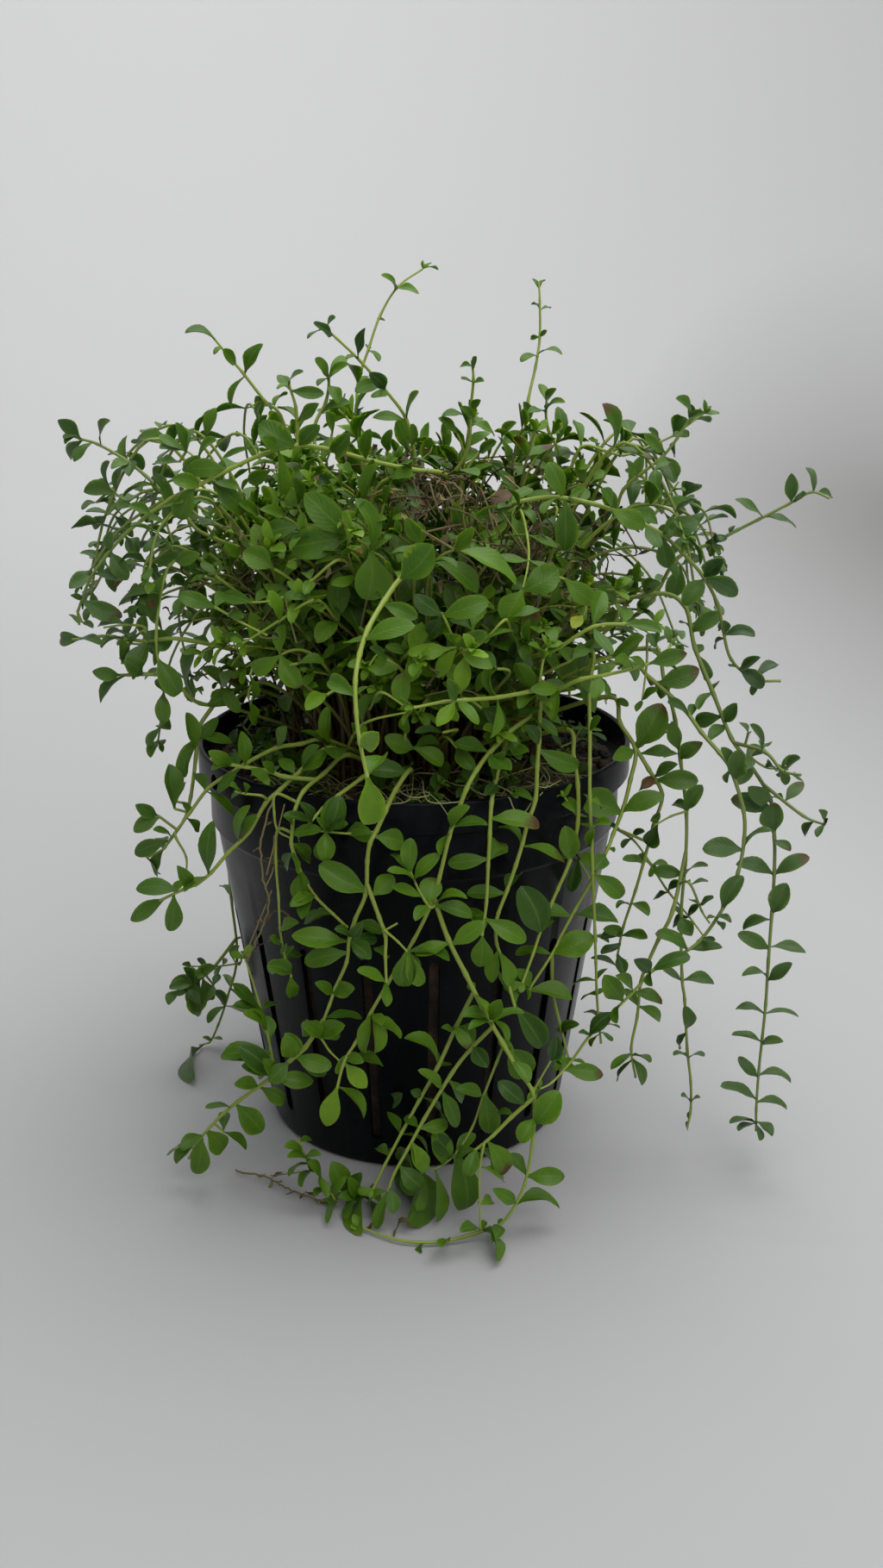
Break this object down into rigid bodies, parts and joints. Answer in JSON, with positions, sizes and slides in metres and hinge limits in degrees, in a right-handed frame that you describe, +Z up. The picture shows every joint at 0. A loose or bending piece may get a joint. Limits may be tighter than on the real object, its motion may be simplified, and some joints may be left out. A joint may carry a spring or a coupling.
{
  "type": "pearlweed in a nursery pot",
  "caption": "Pearlweed, a small-leaved trailing water plant grown above water in a black slotted nursery pot of soil, with long leafy stems hanging over the rim.",
  "frame": {"origin": "middle of the pot's base, on the surface that the pot stands on", "axes": "+Z up along the pot's axis; the front, where most stems hang, faces -Y; +X to the right seen from the front"},
  "size_m": [0.1578, 0.1409, 0.1789],
  "materials": {
    "pot_plastic": "satin",
    "soil": "matte",
    "crown_leaves": "satin",
    "stem_leaves": "satin",
    "dead_stem": "matte"
  },
  "bodies": {
    "root": {"pot": "pot_plastic", "soil": "soil", "crown": "crown_leaves", "stem_right_arch": "stem_leaves", "sprig_right_high": "stem_leaves", "sprig_top_right": "stem_leaves", "sprig_top_right_tall": "stem_leaves", "stem_right_outer": "stem_leaves", "shoot_right_outer_upper": "stem_leaves", "shoot_right_outer_lower": "stem_leaves", "stem_right_hooked": "stem_leaves", "stem_right_long": "stem_leaves", "stem_right_inner": "stem_leaves", "shoot_right_forked": "stem_leaves", "stem_right_near_pot": "stem_leaves", "stem_front_right": "stem_leaves", "stem_front_main": "stem_leaves", "stem_front_fork": "stem_leaves", "runner_front": "stem_leaves", "stem_front_straight": "stem_leaves", "shoot_front_low": "stem_leaves", "shoot_front_lower": "stem_leaves", "stem_front_curved": "stem_leaves", "stem_front_short": "stem_leaves", "shoot_front_side": "stem_leaves", "shoot_front_floor": "stem_leaves", "sprig_front_right": "stem_leaves", "sprig_front_across": "stem_leaves", "sprig_mid_right": "stem_leaves", "stem_nearest_arch": "stem_leaves", "stem_left_arch": "stem_leaves", "sprig_left_far": "stem_leaves", "sprig_top_left_tall": "stem_leaves", "sprig_top_left_short": "stem_leaves", "sprig_top_left": "stem_leaves", "sprig_top_tall": "stem_leaves", "sprig_back_left_tall": "stem_leaves", "sprig_top_middle": "stem_leaves", "sprig_top_right_short": "stem_leaves", "sprig_back_right_tall": "stem_leaves", "stem_left_loop": "stem_leaves", "shoot_left_loop": "stem_leaves", "stem_rim_left": "stem_leaves", "stem_left_drooping": "stem_leaves", "stem_left_lower": "stem_leaves", "stem_left_wavy": "stem_leaves", "stem_left_short": "stem_leaves", "stem_front_left": "stem_leaves", "shoot_front_left": "stem_leaves", "stem_left_long": "stem_leaves", "stem_back_left_hanging": "stem_leaves", "shoot_back_left": "stem_leaves", "dead_stem_floor": "dead_stem", "dead_strand_left": "dead_stem", "sprig_left_middle": "stem_leaves", "sprig_left_low": "stem_leaves", "stem_back_middle": "stem_leaves", "stem_back_right": "stem_leaves", "stem_back_left": "stem_leaves"}
  },
  "joints": []
}
